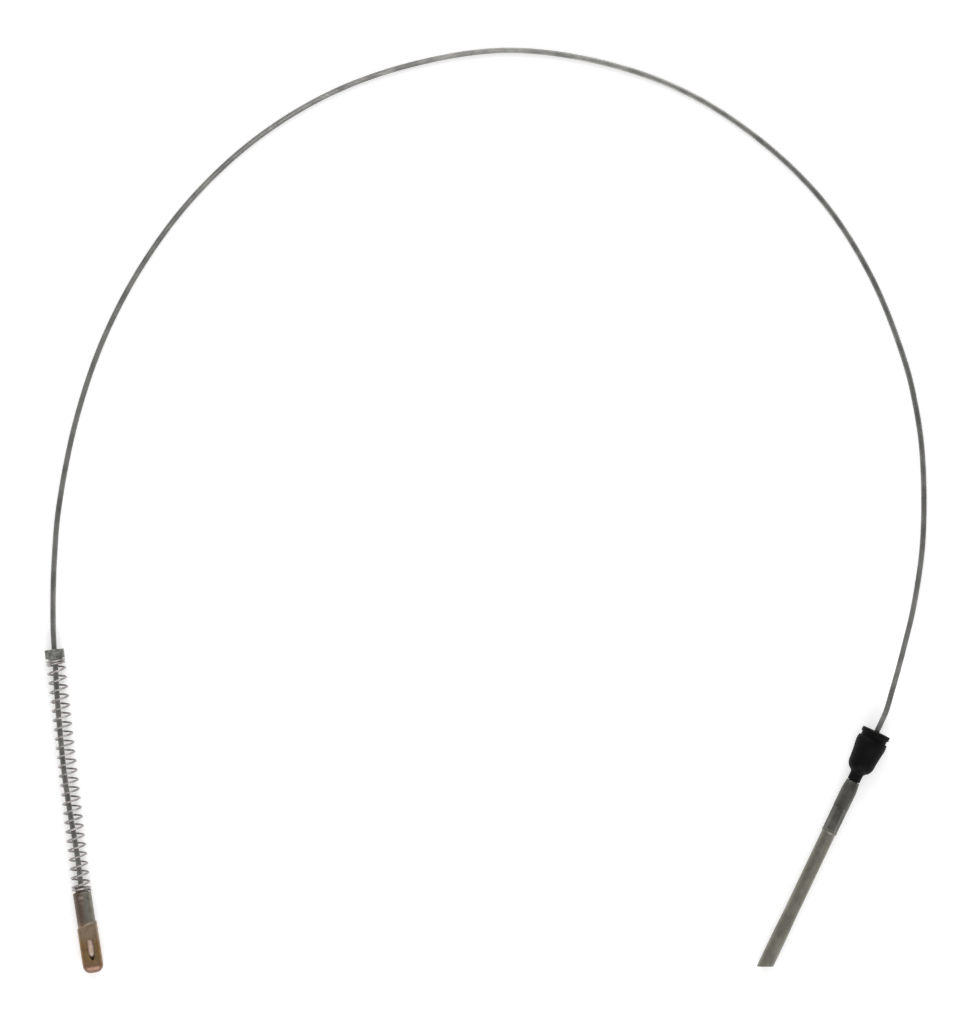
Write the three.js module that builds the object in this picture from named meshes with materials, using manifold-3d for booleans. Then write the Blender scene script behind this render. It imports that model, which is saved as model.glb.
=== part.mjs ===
// A parking brake cable, laid flat as it comes to rest: a loop of bare steel wire rope. Its left end
// carries a sliding hexagonal seat, a return spring and a pressed fitting for the brake lever. Its
// right end runs through a rubber boot into a steel guide tube. Millimetres, +Z up, floor at z = 0.
import * as THREE from 'three';
import { mergeVertices } from 'three/addons/utils/BufferGeometryUtils.js';
import Module from 'manifold-3d';

const wasm = await Module();
wasm.setup();

// Driving dimensions. Every radius, length and depth is in millimetres.
const GAP = 0.3;                        // running clearance between pieces that touch

// Where the two ends lie on the floor, seen from above: x to the right, y up the page.
const SEAT_XY = [-223.2, 87.0];         // outer face of the spring seat
const FITTING_XY = [-208.3, -44.2];     // shoulder of the lever fitting, under the spring
const NOSE_XY = [-201.6, -87.6];        // closed end of the lever fitting
const BOOT_XY = [220.8, 42.5];          // outer face of the boot's flange
const TUBE_AIM_XY = [160.4, -84.7];     // a point on the guide tube's axis, near its open end

const ROPE = { radius: 1.5, sides: 8, steps: 80 };

const SEAT = {
  acrossFlats: 10.4, headLength: 5.0, chamfer: 0.5,
  collarRadius: 3.9, collarLength: 3.2, boreRadius: 2.3, lift: 0.05,
};

const SPRING = {
  wireRadius: 0.55, outerRadius: 5.3, pitch: 5.05, closedTurns: 1.5,
  sides: 6, stepsPerTurn: 14,
};

const FITTING = {
  barrelRadius: 4.95, barrelChamfer: 0.5,
  spigotRadius: 3.4, spigotLength: 3.0,
  shellWidth: 11.0, shellHeight: 11.0, cornerRadius: 3.0, noseRadius: 4.2,
  mouthLeft: 19.2, mouthRight: 16.1,    // where the shell's slanted lip starts at either side
  wall: 1.2, noseWall: 1.8, floorDepth: 22.0,
  windowWidth: 4.0, windowStart: 25.9, windowStraight: 6.8, windowLength: 11.5, windowAside: 0.5,
  dimpleRadius: 2.7, dimpleDepth: 0.6, dimpleAt: 4.2, dimpleAside: -1.0,
};

const BUTTON = { radius: 4.0, length: 15.2, tipLength: 5.0, tipRadius: 1.2, socketDepth: 7.0 };

const BOOT = {
  flangeRadius: 8.0, flangeLength: 2.5, lip: 0.3,
  grooveRadius: 7.3, grooveLength: 2.1,
  bodyFaceRadius: 8.2, bodyRadius: 8.6, crown: 2.9, bodyLength: 15.7,
  waistRadius: 7.6, waistAt: 9.4, bodyEndRadius: 7.2,
  tailRadius: 3.55, shoulderLength: 4.3, tailLength: 4.6,
  plugLength: 8.0, wall: 2.2, mouthFlare: 1.0,
};

const TUBE = {
  radius: 3.85, boreRadius: 2.75, length: 110.9, mitre: 25,
  neckRadius: 3.65, neckLength: 5.0, mouthChamfer: 0.35,
  sleeveRadius: 4.3, stepLength: 0.6,   // the wide stretch from the neck to the end of the pressing
  crimpStart: 15.9, crimpLength: 13.6, crimpAcrossFlats: 7.2,
  bellRadius: 4.1, bellStart: 82.0, bellLength: 10.0,
};

const FERRULE = { overhang: 1.2 };

// The free rope between the boot and the spring seat, laid by hand: out of the boot, down to the
// floor, round the loop, and up again into the seat.
const FREE_ROUTE = [
  [223.1, 47.3, 9.0], [226.0, 54.0, 9.1], [229.1, 64.5, 8.7], [232.4, 76.0, 7.7],
  [236.0, 89.5, 6.1], [240.1, 106.0, 4.2], [243.4, 124.0, 2.6], [245.7, 142.0, 1.8],
  [246.6, 166.0, 1.6], [245.4, 196.0, 1.6], [242.0, 219.0, 1.6], [236.2, 242.7, 1.6],
  [218.2, 288.1, 1.6], [191.8, 329.3, 1.6], [156.5, 363.3, 1.6], [115.0, 389.4, 1.6],
  [68.6, 405.0, 1.6], [20.2, 410.6, 1.6], [-27.6, 403.6, 1.6], [-72.5, 388.1, 1.6],
  [-112.9, 363.8, 1.6], [-147.3, 332.4, 1.6], [-175.2, 295.5, 1.6], [-196.8, 254.5, 1.6],
  [-211.8, 209.9, 1.6], [-221.1, 162.2, 1.6], [-223.2, 136.9, 2.0], [-223.8, 122.0, 3.0],
  [-223.9, 108.0, 4.7], [-223.7, 96.0, 5.8],
];

// How far the rope lies off the spring's axis inside the coils: distance along, distance aside.
const ROPE_IN_SPRING = [
  [7, -0.28], [20, -1.05], [34, -1.62], [48, -2.0], [66, -2.2], [86, -1.6], [104, -0.6], [118, -0.06],
];

// Frames of the two ends. In each, z runs along the axis away from the loop and y points up.
const UP = new THREE.Vector3(0, 0, 1);

function axisFrame(from, towards) {
  const along = towards.clone().sub(from).normalize();
  const across = new THREE.Vector3().crossVectors(UP, along).normalize();
  const above = new THREE.Vector3().crossVectors(along, across);
  const frame = new THREE.Group();
  frame.quaternion.setFromRotationMatrix(new THREE.Matrix4().makeBasis(across, above, along));
  frame.position.copy(from);
  frame.updateMatrixWorld(true);
  return frame;
}

function at(frame, x, y, z) {
  return new THREE.Vector3(x, y, z).applyMatrix4(frame.matrixWorld);
}

const onFloor = (xy, height) => new THREE.Vector3(xy[0], xy[1], height);

const seatCornerRadius = SEAT.acrossFlats / Math.sqrt(3);
const seatPoint = onFloor(SEAT_XY, seatCornerRadius + SEAT.lift);
const fittingPoint = onFloor(FITTING_XY, FITTING.shellHeight / 2);
const nosePoint = onFloor(NOSE_XY, FITTING.shellHeight / 2);
const springAxis = axisFrame(seatPoint, fittingPoint);
const fittingAxis = axisFrame(fittingPoint, nosePoint);
const springSpan = seatPoint.distanceTo(fittingPoint);
const fittingLength = fittingPoint.distanceTo(nosePoint);

// The boot's body and the tube's far end both touch the floor, so the axis falls between them.
const bootLength = BOOT.flangeLength + BOOT.grooveLength + BOOT.bodyLength
  + BOOT.shoulderLength + BOOT.tailLength;
const tubeStart = bootLength + GAP;
const bodyContact = BOOT.flangeLength + BOOT.grooveLength + BOOT.crown;
const tubeContact = tubeStart + TUBE.length;
const fall = (BOOT.bodyRadius - TUBE.bellRadius) / (tubeContact - bodyContact);
const aimSpan = Math.hypot(BOOT_XY[0] - TUBE_AIM_XY[0], BOOT_XY[1] - TUBE_AIM_XY[1]);
const bootPoint = onFloor(BOOT_XY, BOOT.bodyRadius + bodyContact * fall);
const aimPoint = onFloor(TUBE_AIM_XY, bootPoint.z - aimSpan * fall);
const tubeAxis = axisFrame(bootPoint, aimPoint);

// Shapes
function turned(profile, segments) {
  const points = profile.map(([r, z]) => new THREE.Vector2(r, z));
  points.push(points[0].clone());
  return new THREE.LatheGeometry(points, segments).rotateX(Math.PI / 2);
}

function solid(geometry) {
  const bare = geometry.index ? geometry.toNonIndexed() : geometry.clone();
  bare.deleteAttribute('normal');
  bare.deleteAttribute('uv');
  const merged = mergeVertices(bare, 1e-4);
  const mesh = new wasm.Mesh({
    numProp: 3,
    vertProperties: Float32Array.from(merged.attributes.position.array),
    triVerts: Uint32Array.from(merged.index.array),
  });
  return new wasm.Manifold(mesh);
}

function geometryOf(manifold) {
  const mesh = manifold.getMesh();
  const geometry = new THREE.BufferGeometry();
  geometry.setAttribute('position', new THREE.BufferAttribute(mesh.vertProperties, 3));
  geometry.setIndex(new THREE.BufferAttribute(mesh.triVerts, 1));
  geometry.computeVertexNormals();
  return geometry;
}

function hexagon(acrossFlats, turn) {
  const corner = acrossFlats / Math.sqrt(3);
  const shape = new THREE.Shape();
  for (let i = 0; i < 6; i++) {
    const a = turn + i * Math.PI / 3;
    shape[i ? 'lineTo' : 'moveTo'](corner * Math.cos(a), corner * Math.sin(a));
  }
  shape.closePath();
  return shape;
}

function roundedRectangle(width, height, radius) {
  const x = width / 2;
  const y = height / 2;
  const shape = new THREE.Shape();
  shape.moveTo(-x + radius, -y);
  shape.lineTo(x - radius, -y);
  shape.absarc(x - radius, -y + radius, radius, -Math.PI / 2, 0, false);
  shape.lineTo(x, y - radius);
  shape.absarc(x - radius, y - radius, radius, 0, Math.PI / 2, false);
  shape.lineTo(-x + radius, y);
  shape.absarc(-x + radius, y - radius, radius, Math.PI / 2, Math.PI, false);
  shape.lineTo(-x, -y + radius);
  shape.absarc(-x + radius, -y + radius, radius, Math.PI, 1.5 * Math.PI, false);
  return shape;
}

function extruded(shape, depth, curveSegments = 8) {
  return new THREE.ExtrudeGeometry(shape, { depth, bevelEnabled: false, curveSegments });
}

function polygon(radius, sides) {
  const shape = new THREE.Shape();
  for (let i = 0; i < sides; i++) {
    const a = 2 * Math.PI * i / sides;
    shape[i ? 'lineTo' : 'moveTo'](radius * Math.cos(a), radius * Math.sin(a));
  }
  shape.closePath();
  return shape;
}

function finish(colour, roughness, metalness) {
  return new THREE.MeshStandardMaterial({ color: colour, roughness, metalness });
}

function piece(name, geometry, material) {
  const mesh = new THREE.Mesh(geometry, material);
  mesh.name = name;
  return mesh;
}

// Galvanised steel wire rope, one plain round cord here, from the button inside the lever
// fitting to the ferrule inside the guide tube.
function ropeRoute() {
  const ferruleEnd = tubeStart + TUBE.crimpStart + TUBE.crimpLength + FERRULE.overhang;
  const inTube = [ferruleEnd, tubeStart + TUBE.crimpStart, tubeStart, bootLength / 2, 0]
    .map((z) => at(tubeAxis, 0, 0, z));
  const free = FREE_ROUTE.map(([x, y, z]) => new THREE.Vector3(x, y, z));
  const inSpring = ROPE_IN_SPRING.map(([z, x]) => at(springAxis, x, 0, z));
  const socketEnd = FITTING.floorDepth + BUTTON.socketDepth;
  const inFitting = [-FITTING.spigotLength, FITTING.floorDepth / 2, socketEnd]
    .map((z) => at(fittingAxis, 0, 0, z));
  return [...inTube, ...free, seatPoint.clone(), ...inSpring, ...inFitting];
}

function wireRope() {
  const route = new THREE.CatmullRomCurve3(ropeRoute(), false, 'centripetal');
  route.arcLengthDivisions = 2000;
  return new THREE.ExtrudeGeometry(polygon(ROPE.radius, ROPE.sides), {
    steps: ROPE.steps, extrudePath: route, bevelEnabled: false,
  });
}

// Hexagonal steel seat: the spring's end coils grip its collar, and the rope runs free in its bore.
function springSeat() {
  const head = solid(extruded(hexagon(SEAT.acrossFlats, Math.PI / 2), SEAT.headLength));
  const round = seatCornerRadius - 0.1;
  const chamfered = solid(turned([
    [0, 0], [round - SEAT.chamfer, 0], [round + 0.2, SEAT.chamfer + 0.2],
    [round + 0.2, SEAT.headLength - SEAT.chamfer - 0.2],
    [round - SEAT.chamfer, SEAT.headLength], [0, SEAT.headLength],
  ], 36));
  const total = SEAT.headLength + SEAT.collarLength;
  const collar = solid(turned([
    [0, SEAT.headLength / 2], [SEAT.collarRadius, SEAT.headLength / 2],
    [SEAT.collarRadius, total - 0.4], [SEAT.collarRadius - 0.4, total], [0, total],
  ], 28));
  const bore = solid(turned([
    [0, -1], [SEAT.boreRadius + 1.4, -1], [SEAT.boreRadius, 0.4], [SEAT.boreRadius, total + 1],
    [0, total + 1],
  ], 28));
  return geometryOf(head.intersect(chamfered).add(collar).subtract(bore));
}

// Compression spring: open coils with closed ends, a helix along z.
class Helix extends THREE.Curve {
  constructor(radius, length, pitch, closedTurns, closedPitch) {
    super();
    const openTurns = (length - 2 * closedTurns * closedPitch) / pitch;
    Object.assign(this, { radius, length, pitch, closedTurns, closedPitch, openTurns });
    this.turns = openTurns + 2 * closedTurns;
  }

  getPoint(t, target = new THREE.Vector3()) {
    const turn = t * this.turns;
    const open = Math.min(Math.max(turn - this.closedTurns, 0), this.openTurns);
    const z = open * this.pitch + (turn - open) * this.closedPitch;
    const a = 2 * Math.PI * turn;
    return target.set(this.radius * Math.cos(a), this.radius * Math.sin(a), z);
  }
}

const springStart = SEAT.headLength + GAP + SPRING.wireRadius;
const springEnd = springSpan - GAP - SPRING.wireRadius;

function returnSpring() {
  const helix = new Helix(
    SPRING.outerRadius - SPRING.wireRadius, springEnd - springStart, SPRING.pitch,
    SPRING.closedTurns, 2 * SPRING.wireRadius + GAP,
  );
  helix.arcLengthDivisions = 3000;
  return new THREE.ExtrudeGeometry(polygon(SPRING.wireRadius, SPRING.sides), {
    steps: Math.round(helix.turns * SPRING.stepsPerTurn), extrudePath: helix, bevelEnabled: false,
  });
}

// Lever fitting: one pressed steel piece, a round barrel that widens at a slanted lip into a
// square-sided shell with a closed nose. A drop-shaped window shows the rope's end inside.
function fittingOutline() {
  const x = FITTING.shellWidth / 2;
  const r = FITTING.noseRadius;
  const shape = new THREE.Shape();
  shape.moveTo(-x, FITTING.mouthLeft);
  shape.lineTo(x, FITTING.mouthRight);
  shape.lineTo(x, fittingLength - r);
  shape.absarc(x - r, fittingLength - r, r, 0, Math.PI / 2, false);
  shape.lineTo(-x + r, fittingLength);
  shape.absarc(-x + r, fittingLength - r, r, Math.PI / 2, Math.PI, false);
  shape.closePath();
  return shape;
}

function windowOutline() {
  const x = FITTING.windowWidth / 2;
  const aside = FITTING.windowAside;
  const shape = new THREE.Shape();
  const waist = FITTING.windowStart + FITTING.windowStraight;
  const tip = FITTING.windowStart + FITTING.windowLength;
  shape.moveTo(aside - x, FITTING.windowStart);
  shape.lineTo(aside + x, FITTING.windowStart);
  shape.lineTo(aside + x, waist);
  shape.quadraticCurveTo(aside + x * 0.75, tip - 1.0, aside, tip);
  shape.quadraticCurveTo(aside - x * 0.75, tip - 1.0, aside - x, waist);
  shape.closePath();
  return shape;
}

// Stands an outline drawn in x and z upright, so that it is extruded along y.
function upright(shape, height, low, curveSegments) {
  return extruded(shape, height, curveSegments).rotateX(Math.PI / 2).translate(0, low + height, 0);
}

function leverFitting() {
  const { shellWidth, shellHeight, cornerRadius, wall, barrelRadius: barrel } = FITTING;
  const plan = solid(upright(fittingOutline(), shellHeight, -shellHeight / 2, 8));
  const mouth = Math.min(FITTING.mouthLeft, FITTING.mouthRight) - 1;
  const section = solid(extruded(
    roundedRectangle(shellWidth, shellHeight, cornerRadius), fittingLength + 1 - mouth,
  ).translate(0, 0, mouth));
  const side = solid(extruded(
    roundedRectangle(shellHeight, 2 * fittingLength, FITTING.noseRadius), shellWidth + 2,
  ).rotateY(Math.PI / 2).rotateX(Math.PI / 2).translate(-shellWidth / 2 - 1, 0, 0));
  const barrelSolid = solid(turned([
    [0, -FITTING.spigotLength], [FITTING.spigotRadius - 0.4, -FITTING.spigotLength],
    [FITTING.spigotRadius, 0.4 - FITTING.spigotLength], [FITTING.spigotRadius, 0],
    [barrel - FITTING.barrelChamfer, 0], [barrel, FITTING.barrelChamfer],
    [barrel, FITTING.floorDepth], [0, FITTING.floorDepth],
  ], 36));
  const bore = solid(turned([
    [0, -FITTING.spigotLength - 1], [ROPE.radius + GAP, -FITTING.spigotLength - 1],
    [ROPE.radius + GAP, FITTING.floorDepth + 1], [0, FITTING.floorDepth + 1],
  ], 20));
  const cavityEnd = fittingLength - FITTING.noseWall;
  const cavity = solid(extruded(
    roundedRectangle(shellWidth - 2 * wall, shellHeight - 2 * wall, cornerRadius - wall / 2),
    cavityEnd - FITTING.floorDepth,
  ).translate(0, 0, FITTING.floorDepth));
  const window = solid(upright(windowOutline(), shellHeight, 0, 8));
  const ball = (FITTING.dimpleRadius ** 2 + FITTING.dimpleDepth ** 2) / (2 * FITTING.dimpleDepth);
  const dimple = solid(new THREE.SphereGeometry(ball, 32, 20).translate(
    FITTING.dimpleAside, barrel + ball - FITTING.dimpleDepth, FITTING.dimpleAt,
  ));
  return geometryOf(
    plan.intersect(section).intersect(side).add(barrelSolid)
      .subtract(cavity).subtract(bore).subtract(window).subtract(dimple),
  );
}

// Button swaged on the rope's end, held in the fitting's shell and seen through its window.
function ropeButton() {
  const { radius, length, tipLength, tipRadius, socketDepth } = BUTTON;
  const bore = ROPE.radius + GAP;
  return turned([
    [bore, 0], [radius - 0.5, 0], [radius, 0.5], [radius, length - tipLength],
    [radius - 0.35, length - 0.55 * tipLength], [tipRadius + 0.5, length - 0.5],
    [tipRadius, length], [0, length], [0, socketDepth], [bore, socketDepth],
  ], 28);
}

// Rubber boot: a flange and groove that clip into a panel, a tapered hollow body, and a tail
// whose plug is pushed into the guide tube's mouth.
function boot() {
  const rope = ROPE.radius + GAP;
  const b = BOOT;
  const groove = b.flangeLength;
  const body = groove + b.grooveLength;
  const shoulder = body + b.bodyLength;
  const tail = shoulder + b.shoulderLength;
  const rim = tail + b.tailLength;
  const plug = TUBE.boreRadius - GAP;
  return turned([
    [rope + b.mouthFlare, 0], [b.flangeRadius - b.lip, 0], [b.flangeRadius, b.lip],
    [b.flangeRadius, groove - b.lip], [b.flangeRadius - b.lip, groove],
    [b.grooveRadius, groove], [b.grooveRadius, body],
    [b.bodyFaceRadius, body], [b.bodyFaceRadius + 0.25, body + b.lip],
    [b.bodyRadius, body + b.crown], [b.waistRadius, body + b.waistAt],
    [b.bodyEndRadius, shoulder], [b.bodyEndRadius - 0.35, shoulder + 0.28 * b.shoulderLength],
    [b.bodyEndRadius - 1.3, shoulder + 0.55 * b.shoulderLength],
    [b.tailRadius + 0.7, shoulder + 0.85 * b.shoulderLength], [b.tailRadius, tail],
    [b.tailRadius, rim], [plug, rim], [plug, rim + b.plugLength - 0.4],
    [plug - 0.3, rim + b.plugLength], [rope, rim + b.plugLength],
    [rope, shoulder + b.shoulderLength - 0.4 * b.wall],
    [b.bodyEndRadius - b.wall, shoulder - 0.5], [b.bodyRadius - b.wall, body + b.wall],
    [rope, body], [rope, b.mouthFlare],
  ], 40);
}

// Steel guide tube, widened from its necked mouth to the place where it is pressed to a hexagon
// over the rope's ferrule, then slimmer, belled a little and cut on a slant at its end.
function guideTube() {
  const { radius, boreRadius, length, neckRadius, mouthChamfer, sleeveRadius, bellRadius } = TUBE;
  const sleeveEnd = TUBE.crimpStart + TUBE.crimpLength + TUBE.stepLength;
  const blank = solid(turned([
    [boreRadius, 0], [neckRadius - mouthChamfer, 0], [neckRadius, mouthChamfer],
    [sleeveRadius, TUBE.neckLength], [sleeveRadius, sleeveEnd],
    [radius, sleeveEnd + TUBE.stepLength], [radius, TUBE.bellStart],
    [bellRadius, TUBE.bellStart + TUBE.bellLength], [bellRadius, length + 10],
    [boreRadius, length + 10],
  ], 36));
  const ring = solid(turned([
    [0, 0], [sleeveRadius + 2, 0], [sleeveRadius + 2, TUBE.crimpLength], [0, TUBE.crimpLength],
  ], 12));
  const hexBar = solid(extruded(hexagon(TUBE.crimpAcrossFlats, 0), TUBE.crimpLength + 2)
    .translate(0, 0, -1));
  const press = ring.subtract(hexBar).translate([0, 0, TUBE.crimpStart]);
  const cutter = solid(new THREE.BoxGeometry(60, 60, 60).translate(0, 0, 30)
    .rotateY(TUBE.mitre * Math.PI / 180).translate(0, 0, length));
  return geometryOf(blank.subtract(press).subtract(cutter));
}

// Ferrule swaged on the rope's other end, which the tube's pressed hexagon grips.
function tubeFerrule() {
  const outer = TUBE.boreRadius - GAP;
  const bore = ROPE.radius + GAP;
  const length = TUBE.crimpLength;
  return turned([
    [bore, 0], [outer - 0.3, 0], [outer, 0.3], [outer, length - 0.3], [outer - 0.3, length],
    [bore, length],
  ], 24);
}

const steelRope = finish(0x6e6d69, 0.45, 1.0);
const zincGrey = finish(0x7d7f78, 0.45, 0.9);
const springSteel = finish(0x8b8886, 0.4, 1.0);
const yellowZinc = finish(0x7f6547, 0.42, 0.9);
const brightSteel = finish(0xa89182, 0.35, 1.0);
const blackRubber = finish(0x0c0b0b, 0.7, 0.0);
const tubeSteel = finish(0x65645d, 0.5, 0.85);

const cable = new THREE.Group();
cable.add(piece('wire_rope', wireRope(), steelRope));

springAxis.add(piece('spring_seat', springSeat(), zincGrey));
const spring = piece('return_spring', returnSpring(), springSteel);
spring.position.z = springStart;
springAxis.add(spring);
cable.add(springAxis);

fittingAxis.add(piece('lever_fitting', leverFitting(), yellowZinc));
const button = piece('rope_button', ropeButton(), brightSteel);
button.position.z = FITTING.floorDepth + GAP;
fittingAxis.add(button);
cable.add(fittingAxis);

tubeAxis.add(piece('boot', boot(), blackRubber));
const tube = piece('guide_tube', guideTube(), tubeSteel);
tube.position.z = tubeStart;
tubeAxis.add(tube);
const ferrule = piece('tube_ferrule', tubeFerrule(), brightSteel);
ferrule.position.z = tubeStart + TUBE.crimpStart;
tubeAxis.add(ferrule);
cable.add(tubeAxis);

export default cable;
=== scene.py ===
import math

import bpy
import numpy as np
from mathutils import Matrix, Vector


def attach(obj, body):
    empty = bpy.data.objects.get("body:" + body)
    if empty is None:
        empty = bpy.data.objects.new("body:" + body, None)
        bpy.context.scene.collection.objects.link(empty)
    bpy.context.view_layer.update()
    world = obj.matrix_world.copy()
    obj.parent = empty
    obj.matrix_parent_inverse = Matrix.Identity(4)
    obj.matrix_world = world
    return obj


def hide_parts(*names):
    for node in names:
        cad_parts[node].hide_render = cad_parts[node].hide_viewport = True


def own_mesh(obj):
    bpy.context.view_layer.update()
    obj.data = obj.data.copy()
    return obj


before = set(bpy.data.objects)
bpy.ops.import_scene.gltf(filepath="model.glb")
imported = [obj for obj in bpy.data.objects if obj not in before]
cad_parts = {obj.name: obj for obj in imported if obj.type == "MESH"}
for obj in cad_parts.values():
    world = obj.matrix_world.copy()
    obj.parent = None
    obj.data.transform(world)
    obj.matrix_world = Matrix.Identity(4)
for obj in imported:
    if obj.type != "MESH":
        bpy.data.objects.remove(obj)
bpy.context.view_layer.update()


# Camera
# A long lens far above the cable looks straight down on the whole loop and both ends.

CAMERA_HEIGHT = 6.0
VIEW_CENTRE = (0.01049, 0.1617)
VIEW_HEIGHT = 0.5524

camera_data = bpy.data.cameras.new("camera")
camera_data.sensor_width = 36.0
camera_data.lens = camera_data.sensor_width * CAMERA_HEIGHT / VIEW_HEIGHT
camera = bpy.data.objects.new("camera", camera_data)
camera.location = (VIEW_CENTRE[0], VIEW_CENTRE[1], CAMERA_HEIGHT)
bpy.context.scene.collection.objects.link(camera)
bpy.context.scene.camera = camera
bpy.context.scene.view_settings.view_transform = "Standard"


# Wire rope
# Galvanised steel wires laid into one 3 mm rope, bare from the boot's face round the loop to the
# seat. It runs on through the spring and is swaged into the button inside the lever fitting.

MM = 0.001
ROPE_RADIUS = 1.5
WIRE_REACH = 1.48
OUTER_WIRES = 12
LAY_LENGTH = 26.0
RING_STEP = 0.9
SEAT_FACE = (-223.2, 87.0, 6.054)
FITTING_SHOULDER = (-208.3, -44.2, 5.5)
FITTING_NOSE = (-201.6, -87.6, 5.5)
BOOT_FACE = (220.8, 42.5, 8.854)
TUBE_AIM = (160.4, -84.7, 4.086)
ROUTE = [
    BOOT_FACE, (223.1, 47.3, 9.0), (226.0, 54.0, 9.1), (229.1, 64.5, 8.7), (232.4, 76.0, 7.7),
    (236.0, 89.5, 6.1), (240.1, 106.0, 4.2), (243.4, 124.0, 2.6), (245.7, 142.0, 1.8),
    (246.6, 166.0, 1.6), (245.4, 196.0, 1.6), (242.0, 219.0, 1.6), (236.2, 242.7, 1.6),
    (218.2, 288.1, 1.6), (191.8, 329.3, 1.6), (156.5, 363.3, 1.6), (115.0, 389.4, 1.6),
    (68.6, 405.0, 1.6), (20.2, 410.6, 1.6), (-27.6, 403.6, 1.6), (-72.5, 388.1, 1.6),
    (-112.9, 363.8, 1.6), (-147.3, 332.4, 1.6), (-175.2, 295.5, 1.6), (-196.8, 254.5, 1.6),
    (-211.8, 209.9, 1.6), (-221.1, 162.2, 1.6), (-223.2, 136.9, 2.0), (-223.8, 122.0, 3.0),
    (-223.9, 108.0, 4.7), (-223.7, 96.0, 5.8), SEAT_FACE,
]
ROPE_IN_SPRING = [(7, -0.28), (20, -1.05), (34, -1.62), (48, -2.0), (66, -2.2), (86, -1.6),
                  (104, -0.6), (118, -0.06)]
ROPE_IN_FITTING = [(-3.0, 0.0), (11.0, 0.0), (29.0, 0.0)]
ROPE_IN_TUBE = [60.2, 45.4, 29.5, 14.6, 0.0]


def axis_frame(start, towards):
    """Start point and three unit vectors of an end's own frame: x across, y upwards, z along."""
    start = np.array(start)
    along = np.array(towards) - start
    along /= np.linalg.norm(along)
    across = np.cross((0.0, 0.0, 1.0), along)
    across /= np.linalg.norm(across)
    return start, across, np.cross(along, across), along


def placed(local, axes):
    """Points in the row frame, in metres: start + x across + y upwards + z along, from mm."""
    start, across, above, along = axes
    local = np.asarray(local, dtype=float)
    return MM * (start + local[..., :1] * across + local[..., 1:2] * above + local[..., 2:] * along)


def smooth_path(points, step):
    """Centripetal Catmull-Rom curve through the points, sampled evenly about every step.

    Between two points it is the cubic whose slope at each end comes from the points on both
    sides, weighted by the square roots of their distances."""
    points = np.asarray(points, dtype=float)
    knots = np.vstack([2 * points[0] - points[1], points, 2 * points[-1] - points[-2]])
    root = np.linalg.norm(np.diff(knots, axis=0), axis=1) ** 0.5
    d0, d1, d2 = root[:-2, None], root[1:-1, None], root[2:, None]
    p0, p1, p2, p3 = knots[:-3], knots[1:-2], knots[2:-1], knots[3:]
    slope1 = d1 * ((p1 - p0) / d0 - (p2 - p0) / (d0 + d1) + (p2 - p1) / d1)
    slope2 = d1 * ((p2 - p1) / d1 - (p3 - p1) / (d1 + d2) + (p3 - p2) / d2)
    t = np.linspace(0, 1, 60, endpoint=False)[None, :, None]
    p1, p2, slope1, slope2 = (a[:, None, :] for a in (p1, p2, slope1, slope2))
    curve = ((2 * t**3 - 3 * t**2 + 1) * p1 + (t**3 - 2 * t**2 + t) * slope1
             + (3 * t**2 - 2 * t**3) * p2 + (t**3 - t**2) * slope2)
    curve = np.vstack([curve.reshape(-1, 3), points[-1]])
    run = np.concatenate([[0], np.cumsum(np.linalg.norm(np.diff(curve, axis=0), axis=1))])
    even = np.linspace(0, run[-1], int(round(run[-1] / step)) + 1)
    return np.stack([np.interp(even, run, curve[:, k]) for k in range(3)], axis=1)


def swept(path, radius, side, up):
    """Rings of the given radii round a path: point + radius times side cos a + up sin a."""
    angle = np.arange(radius.shape[-1]) * 2 * math.pi / radius.shape[-1]
    return path[:, None] + radius[..., None] * (
        np.cos(angle)[..., None] * side[:, None] + np.sin(angle)[..., None] * up[:, None])


def tube_mesh(name, grid, material, ends="capped", crease=35):
    """Object from a grid of points, rows along it and columns round it.

    Each quad joins two neighbours in a row to the two in the next row. The first and last rows
    are each closed by one polygon, or joined to each other where ends is "joined"."""
    rows, columns = grid.shape[:2]
    index = np.arange(rows * columns).reshape(rows, columns)
    if ends == "joined":
        index = np.vstack([index, index[:1]])
    beside = np.roll(index, -1, axis=1)
    quads = np.stack([index[:-1], beside[:-1], beside[1:], index[1:]], axis=-1).reshape(-1, 4)
    caps = [] if ends == "joined" else [index[0, ::-1].tolist(), index[-1].tolist()]
    mesh = bpy.data.meshes.new(name)
    mesh.from_pydata(grid.reshape(-1, 3).tolist(), [], quads.tolist() + caps)
    mesh.polygons.foreach_set("use_smooth", np.ones(len(mesh.polygons), dtype=bool))
    mesh.set_sharp_from_angle(angle=math.radians(crease))
    mesh.materials.append(material)
    obj = bpy.data.objects.new(name, mesh)
    bpy.context.scene.collection.objects.link(obj)
    return obj


def dress(obj, body, node):
    """The object moves with that body and stands for that CAD node, which is hidden."""
    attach(obj, body)
    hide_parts(node)


def srgb(code):
    """Linear colour for a hex code: each channel follows the sRGB curve."""
    channel = np.array([int(code[k:k + 2], 16) for k in (1, 3, 5)]) / 255
    linear = np.where(channel <= 0.04045, channel / 12.92, ((channel + 0.055) / 1.055) ** 2.4)
    return (*linear.tolist(), 1.0)


def add(tree, kind, links=(), **values):
    """New node with properties and inputs set by name, and outputs linked to its inputs."""
    node = tree.nodes.new("ShaderNode" + kind)
    for key, value in values.items():
        if hasattr(node, key):
            setattr(node, key, value)
        else:
            node.inputs[key].default_value = value
    for socket, output in dict(links).items():
        tree.links.new(output, node.inputs[socket])
    return node


def material(name, **values):
    """New material, with its node tree and its shader set to the values."""
    made = bpy.data.materials.new(name)
    made.use_nodes = True
    shader = made.node_tree.nodes["Principled BSDF"]
    for key, value in values.items():
        shader.inputs[key].default_value = value
    return made, made.node_tree, shader


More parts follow.
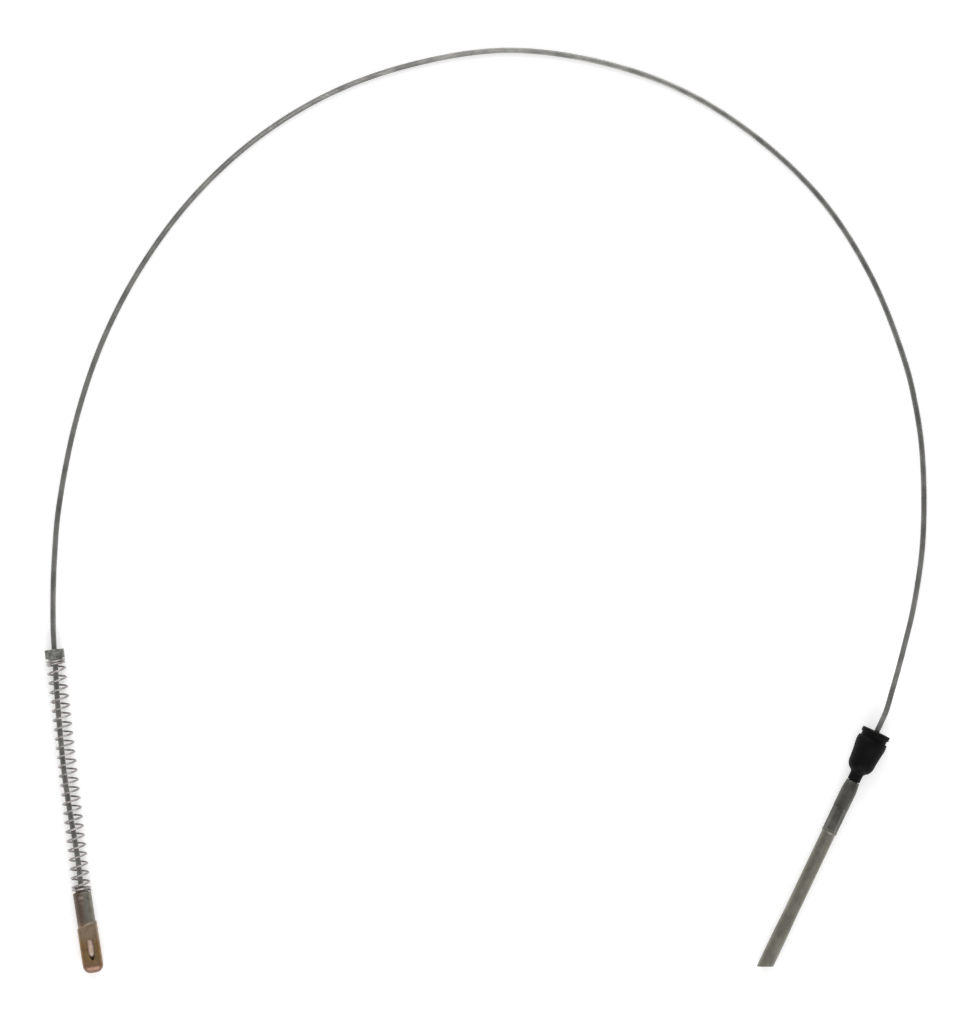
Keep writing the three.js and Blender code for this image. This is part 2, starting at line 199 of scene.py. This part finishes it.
def speckle(tree, size, detail=3.0):
    """Noise whose spots are about size millimetres across, fixed to the object."""
    place = add(tree, "TexCoord")
    return add(tree, "TexNoise", {"Vector": place.outputs["Object"]},
               Scale=1000 / size, Detail=detail).outputs["Fac"]


def shades(tree, factor, *stops):
    """Colour for a factor: (position, hex) stops with even blends between them."""
    ramp = add(tree, "ValToRGB", {"Fac": factor})
    points = ramp.color_ramp.elements
    while len(points) < len(stops):
        points.new(0.5)
    for point, (position, code) in zip(points, stops):
        point.position = position
        point.color = srgb(code)
    return ramp.outputs["Color"]


def span(tree, factor, low, high, start=0.3, end=0.7):
    """Value that goes from low to high as the factor goes from start to end."""
    values = {"From Min": start, "From Max": end, "To Min": low, "To Max": high}
    return add(tree, "MapRange", {"Value": factor}, **values).outputs["Result"]


def dents(tree, shader, height, depth):
    """Bumps on the shader's surface, depth millimetres deep."""
    bump = add(tree, "Bump", {"Height": height}, Distance=depth * MM)
    tree.links.new(bump.outputs["Normal"], shader.inputs["Normal"])


def rope_material():
    """Dull zinc on round wires, darker with the depth of the grooves between them: grease in
    the grooves together with painted shade, which draws the rope's lay.
    """
    made, tree, shader = material("galvanised_rope", Metallic=1.0)
    groove = add(tree, "Attribute", attribute_name="groove").outputs["Fac"]
    wire = shades(tree, speckle(tree, 9.0), (0.35, "#898886"), (0.65, "#A9A8A4"))
    # Grease and painted shade: the colour darkens towards #33322E with each groove's depth between the
    # wires.
    grime = add(tree, "Mix", {"Factor": groove, "A": wire}, data_type="RGBA")
    grime.inputs["B"].default_value = srgb("#33322E")
    tree.links.new(grime.outputs["Result"], shader.inputs["Base Color"])
    tree.links.new(span(tree, speckle(tree, 3.0), 0.3, 0.46), shader.inputs["Roughness"])
    dents(tree, shader, speckle(tree, 0.6), 0.02)
    return made


def rope_rings(path):
    """Rings of the rope: the outer arcs of a ring of touching wires, turned with the distance.

    In a wire's sector the radius is centre cos a + sqrt(wire^2 - (centre sin a)^2)."""
    sine = math.sin(math.pi / OUTER_WIRES)
    wire = WIRE_REACH * sine / (1 + sine)
    centre = WIRE_REACH - wire
    angle = np.arange(OUTER_WIRES * 4) * 2 * math.pi / (OUTER_WIRES * 4)
    sector = 2 * math.pi / OUTER_WIRES
    off = (angle + sector / 2) % sector - sector / 2
    radius = centre * np.cos(off) + np.sqrt(np.maximum(wire**2 - (centre * np.sin(off)) ** 2, 0))
    tangent = np.gradient(path, axis=0)
    tangent /= np.linalg.norm(tangent, axis=1)[:, None]
    side = np.cross((0.0, 0.0, 1.0), tangent)
    side /= np.linalg.norm(side, axis=1)[:, None]
    up = np.cross(tangent, side)
    turn = RING_STEP * np.arange(len(path))[:, None] * 2 * math.pi / LAY_LENGTH
    side, up = np.cos(turn) * side + np.sin(turn) * up, np.cos(turn) * up - np.sin(turn) * side
    return swept(path, np.tile(radius, (len(path), 1)), side, up), (radius.max() - radius) / wire


def rope_piece(name, path, finish):
    """Rope along the path, with each ring's groove depth kept as an attribute from 0 to 1."""
    grid, groove = rope_rings(path)
    obj = tube_mesh(name, MM * grid, finish, crease=180)
    depth = obj.data.attributes.new("groove", "FLOAT", "POINT")
    depth.data.foreach_set("value", np.tile(np.clip(groove, 0, 1), len(path)))
    dress(obj, "cable", "wire_rope")
    return obj


spring_axes = axis_frame(SEAT_FACE, FITTING_SHOULDER)
fitting_axes = axis_frame(FITTING_SHOULDER, FITTING_NOSE)
tube_axes = axis_frame(BOOT_FACE, TUBE_AIM)
in_spring = placed([(x, 0, z) for z, x in ROPE_IN_SPRING], spring_axes) / MM
in_fitting = placed([(x, 0, z) for z, x in ROPE_IN_FITTING], fitting_axes) / MM
rope_path = smooth_path([*ROUTE, *in_spring, *in_fitting], RING_STEP)
rope_finish = rope_material()
rope = rope_piece("rope", rope_path, rope_finish)
in_tube = placed([(0, 0, z) for z in ROPE_IN_TUBE], tube_axes) / MM
rope_piece("rope_in_tube", smooth_path(in_tube, RING_STEP), rope_finish)


# Spring seat
# Turned from hexagonal steel bar, plated with clear zinc that has gone greenish grey. The
# spring's end coils sit on its collar, and the rope slides through its bore.

SEAT_FLATS = 10.4
SEAT_HEAD = 5.0
SEAT_COLLAR = (3.9, 3.2)
SEAT_BORE = 2.3


def softened(corners):
    """Closed outline through (z, r, fillet) corners: each corner is a short parabola that
    leaves and meets the two sides at the fillet's distance from it."""
    corners = np.array(corners, dtype=float)
    point, cut = corners[:, :2], corners[:, 2:]
    t = np.linspace(0, 1, 5)[None, :, None]
    ends = []
    for other in (np.roll(point, 1, axis=0), np.roll(point, -1, axis=0)):
        reach = np.linalg.norm(other - point, axis=1, keepdims=True)
        ends.append((point + (other - point) / reach * np.minimum(cut, 0.45 * reach))[:, None])
    curve = (1 - t) ** 2 * ends[0] + 2 * t * (1 - t) * point[:, None] + t**2 * ends[1]
    return curve.reshape(-1, 2)


def turned(outline, columns):
    """Grid of a turned shape: each (z, r) of the outline becomes a ring of radius r at z."""
    angle = np.arange(columns) * 2 * math.pi / columns
    z, r = outline[:, :1], outline[:, 1:]
    return np.stack([r * np.cos(angle), r * np.sin(angle), z + 0 * angle], axis=-1)


def hexagonal(grid, apothem, corner, turn=0.0):
    """The same rings, cut back to a hexagon: radius at most apothem / cos a in each sector,
    and at most corner. Apothem may be one value for each row."""
    angle = np.arctan2(grid[..., 1], grid[..., 0]) - turn
    off = (angle + math.pi / 6) % (math.pi / 3) - math.pi / 6
    radius = np.hypot(grid[..., 0], grid[..., 1])
    limit = np.minimum(np.asarray(apothem).reshape(-1, 1) / np.cos(off), corner)
    scale = np.minimum(limit / np.maximum(radius, 1e-6), 1)
    return grid * np.stack([scale, scale, np.ones_like(scale)], axis=-1)


def seat_material():
    """Turned steel under thin zinc, with darker spots where hands and grease have dulled it."""
    made, tree, shader = material("zinc_seat", Metallic=1.0)
    colour = shades(tree, speckle(tree, 2.5), (0.3, "#6C6B66"), (0.5, "#9A9C96"), (0.7, "#BAB9B2"))
    tree.links.new(colour, shader.inputs["Base Color"])
    tree.links.new(span(tree, speckle(tree, 1.2), 0.24, 0.42), shader.inputs["Roughness"])
    dents(tree, shader, speckle(tree, 0.8), 0.03)
    return made


def spring_seat():
    """Turned outline of head and collar, cut back to a hexagon with bevelled corners."""
    head, collar, corner = SEAT_HEAD, SEAT_HEAD + SEAT_COLLAR[1], SEAT_FLATS / math.sqrt(3)
    bevel = [(step, corner - 0.65 * (1 - step / 0.6), 0.02) for step in np.linspace(0, 0.6, 9)]
    outline = softened([
        (0.0, SEAT_BORE + 0.45, 0.1), *bevel, *[(head - z, r, cut) for z, r, cut in bevel[::-1]],
        (head, SEAT_COLLAR[0], 0.15),
        (collar - 0.4, SEAT_COLLAR[0], 0.15), (collar, SEAT_COLLAR[0] - 0.4, 0.15),
        (collar, SEAT_BORE + 0.2, 0.1), (collar - 0.2, SEAT_BORE, 0.1), (0.45, SEAT_BORE, 0.2),
    ])
    grid = hexagonal(turned(outline, 144), SEAT_FLATS / 2, corner - 0.07)
    obj = tube_mesh("hexagonal_seat", placed(grid, spring_axes), seat_material(), ends="joined")
    dress(obj, "seat", "spring_seat")


spring_seat()


# Return spring
# Drawn spring wire, coiled cold and zinc plated: open coils with one and a half closed turns at
# each end, slipped over the rope between the seat's collar and the fitting's spigot.

SPRING_WIRE = 0.55
SPRING_RADIUS = 4.75
SPRING_PITCH = 5.05
CLOSED_PITCH = 1.4
CLOSED_TURNS = 1.5
SPRING_SPAN = (5.85, 131.194)


def spring_material():
    """Bright drawn wire with a mauve-grey cast, dulled in patches along its length."""
    made, tree, shader = material("spring_wire", Metallic=1.0)
    colour = shades(tree, speckle(tree, 4.0), (0.3, "#8C8887"), (0.7, "#B4AEAC"))
    tree.links.new(colour, shader.inputs["Base Color"])
    tree.links.new(span(tree, speckle(tree, 1.5), 0.24, 0.4), shader.inputs["Roughness"])
    dents(tree, shader, speckle(tree, 0.5), 0.01)
    return made


def return_spring():
    """Helix: radius cos a, radius sin a and a height that climbs by the pitch in each turn.
    The pitch eases from the closed turns to the open ones over half a turn."""
    first, last = SPRING_SPAN
    turns = (last - first - 2 * CLOSED_TURNS * CLOSED_PITCH) / SPRING_PITCH + 2 * CLOSED_TURNS
    turn = np.linspace(0, turns, int(turns * 48) + 1)
    inside = np.minimum(turn, turns - turn) - CLOSED_TURNS
    ease = np.clip(inside * 2 + 0.5, 0, 1)
    pitch = CLOSED_PITCH + (SPRING_PITCH - CLOSED_PITCH) * ease**2 * (3 - 2 * ease)
    climb = np.concatenate([[0], np.cumsum((pitch[1:] + pitch[:-1]) / 2 * np.diff(turn))])
    height = first + climb * (last - first) / climb[-1]
    angle = 2 * math.pi * turn
    path = np.stack([SPRING_RADIUS * np.cos(angle), SPRING_RADIUS * np.sin(angle), height], axis=1)
    tangent = np.gradient(path, axis=0)
    tangent /= np.linalg.norm(tangent, axis=1)[:, None]
    out = np.stack([np.cos(angle), np.sin(angle), 0 * angle], axis=1)
    grid = swept(path, np.full((len(path), 14), SPRING_WIRE), out, np.cross(tangent, out))
    obj = tube_mesh("spring_coils", placed(grid, spring_axes), spring_material())
    dress(obj, "cable", "return_spring")
    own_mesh(obj)


return_spring()


# Lever fitting
# One piece of sheet steel, drawn into a round barrel that widens at a slanted lip into a
# square-sided shell with a closed nose, and pierced with a drop-shaped window. Yellow zinc.

SPIGOT = (3.4, 3.0)
BARREL_RADIUS = 4.95
SHELL_HALF = 5.5
SHELL_POWER = 4.0
LIP_MIDDLE = 17.65
LIP_SLOPE = -0.282
LIP_WIDTH = 1.1
NOSE_RADIUS = 4.2
FITTING_LENGTH = 43.914
CAVITY = (22.0, 42.1, 4.3)
FITTING_BORE = 1.8
WINDOW = (0.5, 1.85, 25.9, 32.7, 37.1)
DIMPLE = (-1.0, 4.2, 2.7, 0.6)


def passed(tree, axes, axis, start, end, low=0, high=1):
    """Goes from low to high between two places in mm along one axis of an end's own frame."""
    place = add(tree, "TexCoord").outputs["Object"]
    dot = add(tree, "VectorMath", {0: place}, operation="DOT_PRODUCT")
    dot.inputs[1].default_value = axes[axis]
    zero = float(np.dot(axes[0], axes[axis]))
    return span(tree, dot.outputs["Value"], low, high, (zero + start) * MM, (zero + end) * MM)


def fitting_material():
    """Yellow zinc worn to grey on the barrel and golden brown towards the nose, with dark grime
    rubbed into the pressing. The barrel's left side is painted darker and browner and its right
    side lighter: painted shade, as if lit from the right. A lighter tan band on the lip is a
    painted highlight."""
    made, tree, shader = material("yellow_zinc", Metallic=1.0)
    # Painted shade: the barrel turns darker and browner towards its left side and lighter grey towards
    # its right.
    shaded_left = passed(tree, fitting_axes, 1, -2.0, 2.0, 1, 0)
    barrel = add(tree, "Mix", {"Factor": shaded_left}, data_type="RGBA")
    barrel.inputs["A"].default_value = srgb("#85837A")
    barrel.inputs["B"].default_value = srgb("#6F6057")
    colour = barrel.outputs["Result"]
    # The first zone, a lighter tan band at the lip, is a painted highlight; the later zones are the
    # zinc's own golden brown and pinkish tones.
    for start, end, code in ((15.5, 19.0, "#96826F"), (23.0, 28.0, "#8C7150"), (36.0, 43.0, "#8A6C60")):
        zone = add(tree, "Mix", {"Factor": passed(tree, fitting_axes, 3, start, end), "A": colour},
                   data_type="RGBA")
        zone.inputs["B"].default_value = srgb(code)
        colour = zone.outputs["Result"]
    grime = add(tree, "Mix", {"Factor": span(tree, speckle(tree, 3.5), 0.0, 0.35, 0.5, 0.75),
                              "A": colour}, data_type="RGBA")
    grime.inputs["B"].default_value = srgb("#4A3A2C")
    tree.links.new(grime.outputs["Result"], shader.inputs["Base Color"])
    tree.links.new(span(tree, speckle(tree, 1.4), 0.38, 0.56), shader.inputs["Roughness"])
    dents(tree, shader, speckle(tree, 1.0), 0.03)
    return made


def oval(angle, half, power):
    """Radius of a rounded square: half / (|cos a|^power + |sin a|^power)^(1 / power)."""
    return half / (np.abs(np.cos(angle)) ** power + np.abs(np.sin(angle)) ** power) ** (1 / power)


def fitting_skin():
    """Outer surface as rings along z. A ring is a circle on the barrel and a rounded square on
    the shell. Between them it blends where z passes the lip, which slants with x. Towards the
    nose it shrinks as a quarter circle, and the dimple lowers it by depth (1 - d^2 / r^2)^2."""
    radius, length = SPIGOT
    edge = FITTING_LENGTH - NOSE_RADIUS
    lead = np.array([
        (-length, radius - 0.4), (-length + 0.15, radius - 0.12), (-length + 0.4, radius),
        (-0.1, radius), (0.0, radius + 0.1), (0.0, BARREL_RADIUS - 0.5),
        (0.12, BARREL_RADIUS - 0.2), (0.5, BARREL_RADIUS),
    ])
    z = np.concatenate([
        lead[:, 0], np.arange(0.8, 14.5, 0.3), np.arange(14.5, 21.5, 0.12), np.linspace(21.5, edge, 20),
        edge + NOSE_RADIUS * np.sin(np.linspace(0, math.pi / 2, 16)[1:]),
    ])[:, None]
    base = np.full_like(z, BARREL_RADIUS)
    base[:len(lead), 0] = lead[:, 1]
    angle = (np.arange(128) * 2 * math.pi / 128)[None, :]
    lip = LIP_MIDDLE + LIP_SLOPE * SHELL_HALF * np.cos(angle)
    blend = np.clip((z - lip) / LIP_WIDTH + 0.5, 0, 1)
    blend = blend**2 * (3 - 2 * blend)
    past = np.clip(z - edge, 0, NOSE_RADIUS)
    shrink = (SHELL_HALF - NOSE_RADIUS + np.sqrt(NOSE_RADIUS**2 - past**2)) / SHELL_HALF
    r = (base + blend * (oval(angle, SHELL_HALF, SHELL_POWER) - base)) * shrink
    x, y = r * np.cos(angle), r * np.sin(angle)
    aside, along, reach, depth = DIMPLE
    near = np.clip(1 - ((x - aside) ** 2 + (z - along) ** 2) / reach**2, 0, 1) * (y > 0)
    return np.stack([x, y - depth * near**2, z + 0 * x], axis=-1)


def cavity():
    """Room for the button: rings of a rounded square from the barrel's floor to the nose."""
    start, end, half = CAVITY
    z = np.array([start, end - 1.0, end])[:, None]
    angle = (np.arange(64) * 2 * math.pi / 64)[None, :]
    r = oval(angle, half, SHELL_POWER) * np.array([1, 1, 0.8])[:, None]
    return np.stack([r * np.cos(angle), r * np.sin(angle), z + 0 * r], axis=-1)


def window():
    """Prism of the window's outline: a square end, straight sides and a pointed round tip,
    opened a little wider at the shell's surface."""
    aside, half, start, waist, tip = WINDOW
    t = np.linspace(0, 1, 10)
    side_x = half * ((1 - t) ** 2 + 1.5 * t * (1 - t))
    side_z = waist * (1 - t) ** 2 + 2 * (tip - 1.0) * t * (1 - t) + tip * t**2
    x = np.concatenate([[half - 0.2, -half + 0.2, -half], -side_x, side_x[-2::-1], [half]])
    z = np.concatenate([[start, start, start + 0.2], side_z, side_z[-2::-1], [start + 0.2]])
    height = np.array([2.0, SHELL_HALF - 0.3, SHELL_HALF + 1.0])[:, None]
    wider = np.array([1.0, 1.0, 1.2])[:, None]
    middle = (start + tip) / 2
    stretch = 1 + (wider - 1) * half / (tip - middle)
    return np.stack([aside + x * wider, height + 0 * x, middle + (z - middle) * stretch], axis=-1)


def lever_fitting():
    """The skin, with the button's room, the rope's bore and the window cut out of it."""
    finish = fitting_material()
    obj = tube_mesh("pressed_fitting", placed(fitting_skin(), fitting_axes), finish)
    bore = turned(np.array([(-SPIGOT[1] - 0.5, FITTING_BORE), (CAVITY[0] + 0.5, FITTING_BORE)]), 48)
    for name, grid in (("cavity", cavity()), ("bore", bore), ("window", window())):
        tool = tube_mesh(name, placed(grid, fitting_axes), finish)
        cut = obj.modifiers.new(name, "BOOLEAN")
        cut.object = tool
        cut.solver = "EXACT"
        whole = obj.evaluated_get(bpy.context.evaluated_depsgraph_get())
        mesh = bpy.data.meshes.new_from_object(whole)
        obj.modifiers.clear()
        obj.data = mesh
        bpy.data.objects.remove(tool)
    obj.data.set_sharp_from_angle(angle=math.radians(35))
    dress(obj, "cable", "lever_fitting")


lever_fitting()


# Rope button
# A steel button swaged on the rope's end. It fills the shell, and its rounded tip shows
# through the window.

BUTTON_START = 22.3
BUTTON_RADIUS = 4.0
BUTTON_LENGTH = 15.2
BUTTON_TIP = 5.0
BUTTON_SOCKET = 7.0


def button_material():
    """Bright swaged steel with a pinkish tan film, brighter where the die has rubbed it. The
    whole colour is also painted paler, as painted light, so that the button shows lit inside the
    shaded window.
    """
    made, tree, shader = material("swaged_steel", Metallic=0.6)
    # Partly painted light: these pale tans are lighter than the steel, so that the button reads as lit
    # in the window's shade.
    colour = shades(tree, speckle(tree, 2.0), (0.3, "#C4A892"), (0.7, "#E2CBBB"))
    tree.links.new(colour, shader.inputs["Base Color"])
    tree.links.new(span(tree, speckle(tree, 1.0), 0.45, 0.6), shader.inputs["Roughness"])
    return made


def rope_button():
    """Turned outline with a rounded tip and a blind socket for the rope's end."""
    hole, end = ROPE_RADIUS + 0.3, BUTTON_LENGTH
    waist = end - BUTTON_TIP
    outline = softened([
        (0.0, hole, 0.1), (0.0, BUTTON_RADIUS, 0.5), (waist, BUTTON_RADIUS, 1.5),
        (end - 0.55 * BUTTON_TIP, BUTTON_RADIUS - 0.35, 1.5), (end, 1.2, 0.6), (end, 0.02, 0.0),
        (BUTTON_SOCKET, 0.02, 0.0), (BUTTON_SOCKET, hole, 0.1),
    ]) + (BUTTON_START, 0.0)
    obj = tube_mesh("button", placed(turned(outline, 72), fitting_axes), button_material(),
                    ends="joined")
    dress(obj, "cable", "rope_button")


rope_button()


# Boot
# Moulded black rubber: a flange and groove that clip into a panel, a body that is widest just
# behind the groove, and a thin tail whose plug is pushed into the guide tube.

BOOT_FLANGE = (8.0, 2.5)
BOOT_GROOVE = (7.3, 2.1)
BOOT_BODY = (8.2, 8.6, 2.9)
BOOT_WAIST = (7.6, 9.4)
BOOT_END = (7.2, 20.3)
BOOT_TAIL = (3.55, 24.6, 29.2)
BOOT_PLUG = (2.45, 37.2)


def rubber_material():
    """Near-black satin rubber. A faint bloom greys it in patches, and moulding grain breaks
    its sheen."""
    made, tree, shader = material("black_rubber", **{"IOR": 1.5, "Specular IOR Level": 0.1})
    colour = shades(tree, speckle(tree, 6.0), (0.35, "#050404"), (0.7, "#0B0909"))
    tree.links.new(colour, shader.inputs["Base Color"])
    tree.links.new(span(tree, speckle(tree, 2.0), 0.5, 0.68), shader.inputs["Roughness"])
    dents(tree, shader, speckle(tree, 0.35, 5.0), 0.04)
    return made


def boot():
    """Turned outline from the flange's face to the plug's end, and back along the bore."""
    flange, groove = BOOT_FLANGE[1], BOOT_FLANGE[1] + BOOT_GROOVE[1]
    hole, end = ROPE_RADIUS + 0.3, BOOT_END[1]
    tail, rim = BOOT_TAIL[1:]
    outline = softened([
        (0.0, hole + 1.0, 0.3), (0.0, BOOT_FLANGE[0], 0.5), (flange, BOOT_FLANGE[0], 0.5),
        (flange, BOOT_GROOVE[0], 0.15), (groove, BOOT_GROOVE[0], 0.15),
        (groove, BOOT_BODY[0], 0.4), (groove + BOOT_BODY[2], BOOT_BODY[1], 2.0),
        (groove + BOOT_WAIST[1], BOOT_WAIST[0], 4.0), (end, BOOT_END[0], 1.6),
        (end + 2.4, BOOT_END[0] - 1.3, 1.0), (tail - 0.6, BOOT_TAIL[0] + 0.5, 0.8),
        (tail + 0.4, BOOT_TAIL[0], 0.8), (rim, BOOT_TAIL[0], 0.3), (rim, BOOT_PLUG[0], 0.1),
        (BOOT_PLUG[1], BOOT_PLUG[0], 0.3), (BOOT_PLUG[1], hole, 0.2), (1.0, hole, 0.5),
    ])
    obj = tube_mesh("rubber_boot", placed(turned(outline, 96), tube_axes), rubber_material(),
                    ends="joined", crease=50)
    dress(obj, "cable", "boot")


boot()


# Guide tube
# Drawn steel tube: necked in at its mouth, wider as far as the place where it is pressed to a
# hexagon over the rope's ferrule, then slimmer, belled a little and sawn off on a slant.

TUBE_START = 29.5
TUBE_LENGTH = 110.9
TUBE_BORE = 2.75
TUBE_NECK = (3.65, 5.0)
TUBE_SLEEVE = 4.3
TUBE_RADIUS = 3.85
TUBE_BELL = (4.1, 82.0, 92.0)
TUBE_PRESSED = (15.9, 29.5, 3.6)
TUBE_MITRE = 25.0


def tube_material():
    """Dull grey plate, mottled: darker as far as the pressing, warmer towards the sawn end."""
    made, tree, shader = material("dull_plate", Metallic=1.0)
    near = shades(tree, speckle(tree, 8.0), (0.3, "#53524E"), (0.7, "#6E6D68"))
    far = shades(tree, speckle(tree, 12.0), (0.3, "#716F66"), (0.7, "#8C8A7F"))
    beyond = passed(tree, tube_axes, 3, TUBE_START + 28.5, TUBE_START + 31.0)
    plate = add(tree, "Mix", {"Factor": beyond, "A": near, "B": far}, data_type="RGBA")
    tree.links.new(plate.outputs["Result"], shader.inputs["Base Color"])
    tree.links.new(span(tree, speckle(tree, 2.5), 0.36, 0.54), shader.inputs["Roughness"])
    dents(tree, shader, speckle(tree, 0.9), 0.03)
    return made


def guide_tube():
    """Turned outline with rows every half millimetre where it is pressed. There the radius is
    cut back to a hexagon. The last rows shear by z - x tan(mitre)."""
    start, end, apothem = TUBE_PRESSED
    pressed = [(z, TUBE_SLEEVE, 0.0) for z in np.arange(start - 0.5, end + 0.6, 0.5)]
    outline = softened([
        (0.0, TUBE_BORE, 0.1), (0.0, TUBE_NECK[0], 0.35), (TUBE_NECK[1], TUBE_SLEEVE, 1.5),
        *pressed, (end + 0.9, TUBE_SLEEVE, 0.2), (end + 1.4, TUBE_RADIUS, 0.3),
        (TUBE_BELL[1], TUBE_RADIUS, 3.0), (TUBE_BELL[2], TUBE_BELL[0], 3.0),
        (TUBE_LENGTH - 4.0, TUBE_BELL[0], 0.0), (TUBE_LENGTH, TUBE_BELL[0], 0.12),
        (TUBE_LENGTH, TUBE_BORE, 0.12), (TUBE_LENGTH - 4.0, TUBE_BORE, 0.0),
    ])
    grid = turned(outline, 96)
    z = outline[:, 0]
    inside = np.clip(np.minimum(z - start, end - z) / 0.5 + 0.5, 0, 1)
    inside = inside**2 * (3 - 2 * inside)
    grid = hexagonal(grid, 6.0 + (apothem - 6.0) * inside, 9.0, math.pi / 6)
    shear = np.clip((z - TUBE_LENGTH + 4.0) / 4.0, 0, 1)[:, None]
    grid[..., 2] += TUBE_START - shear * math.tan(math.radians(TUBE_MITRE)) * grid[..., 0]
    obj = tube_mesh("steel_tube", placed(grid, tube_axes), tube_material(), ends="joined")
    dress(obj, "cable", "guide_tube")


guide_tube()


# Tube ferrule
# A plain swaged sleeve on the rope's other end, hidden inside the tube's pressing. Its CAD
# solid stays and only gets its finish.


def ferrule_material():
    """Bright swaged steel, smooth and slightly mottled."""
    made, tree, shader = material("ferrule_steel", Metallic=1.0)
    colour = shades(tree, speckle(tree, 2.0), (0.3, "#8A8884"), (0.7, "#A5A39E"))
    tree.links.new(colour, shader.inputs["Base Color"])
    tree.links.new(span(tree, speckle(tree, 1.0), 0.3, 0.42), shader.inputs["Roughness"])
    return made


for slot in bpy.data.objects["tube_ferrule"].material_slots:
    slot.material = ferrule_material()


# Light and floor
# A white floor that keeps soft shadows, a sky that is dimmer at the sides, and two long lamps
# beyond and before the cable, so that steel facing them shines and steel facing sideways is dark.

SKY_LIGHT = (0.34, 1.0)
LAMP_SIZE = (1.8, 0.6)
LAMP_PLACES = {"lamp_beyond": ((0.0, 1.75, 1.15), 17.0), "lamp_before": ((0.0, -1.45, 1.15), 15.0)}
FLOOR_LIFT = 0.32


def seen_rays(tree):
    """1 for rays from the camera, a reflection or a pane, and 0 for the rest."""
    path = add(tree, "LightPath")
    total = path.outputs["Is Camera Ray"]
    for ray in ("Is Glossy Ray", "Is Transmission Ray"):
        total = add(tree, "Math", {0: total, 1: path.outputs[ray]}, operation="MAXIMUM").outputs[0]
    return total


def studio_world():
    """Sky that is brightest straight beyond and before the cable and dimmer at its sides."""
    world = bpy.data.worlds.new("studio")
    world.use_nodes = True
    tree = world.node_tree
    sky = tree.nodes["Background"]
    sky.inputs["Color"].default_value = srgb("#FFFFFF")
    heading = add(tree, "SeparateXYZ", {"Vector": add(tree, "TexCoord").outputs["Generated"]})
    beyond = add(tree, "Math", {0: heading.outputs["Y"]}, operation="ABSOLUTE")
    tree.links.new(span(tree, beyond.outputs[0], *SKY_LIGHT, 0.0, 0.9), sky.inputs["Strength"])
    bpy.context.scene.world = world


def lamp(name, place, power):
    """Rectangular lamp of that power in watts, turned towards the middle of the view."""
    data = bpy.data.lights.new(name, "AREA")
    data.shape = "RECTANGLE"
    data.size, data.size_y = LAMP_SIZE
    data.energy = power
    made = bpy.data.objects.new(name, data)
    made.location = place
    towards = Vector((VIEW_CENTRE[0], VIEW_CENTRE[1], 0.0)) - made.location
    made.rotation_euler = towards.to_track_quat("-Z", "Y").to_euler()
    bpy.context.scene.collection.objects.link(made)


def floor():
    """Matt white, lifted to full white for the rays that see it, so that shadows stay soft."""
    made, tree, shader = material("white_floor", Roughness=0.9)
    tree.links.new(shades(tree, speckle(tree, 60.0), (0.0, "#EDEDED"), (1.0, "#F1F1F1")),
                   shader.inputs["Base Color"])
    shader.inputs["Specular IOR Level"].default_value = 0.0
    shader.inputs["Emission Color"].default_value = srgb("#FFFFFF")
    lift = span(tree, seen_rays(tree), 0.0, FLOOR_LIFT, 0.0, 1.0)
    tree.links.new(lift, shader.inputs["Emission Strength"])
    mesh = bpy.data.meshes.new("floor")
    mesh.from_pydata([(-4, -4, 0), (4, -4, 0), (4, 4, 0), (-4, 4, 0)], [], [(0, 1, 2, 3)])
    mesh.materials.append(made)
    obj = bpy.data.objects.new("floor", mesh)
    bpy.context.scene.collection.objects.link(obj)


studio_world()
for lamp_name, (lamp_place, lamp_power) in LAMP_PLACES.items():
    lamp(lamp_name, lamp_place, lamp_power)
floor()
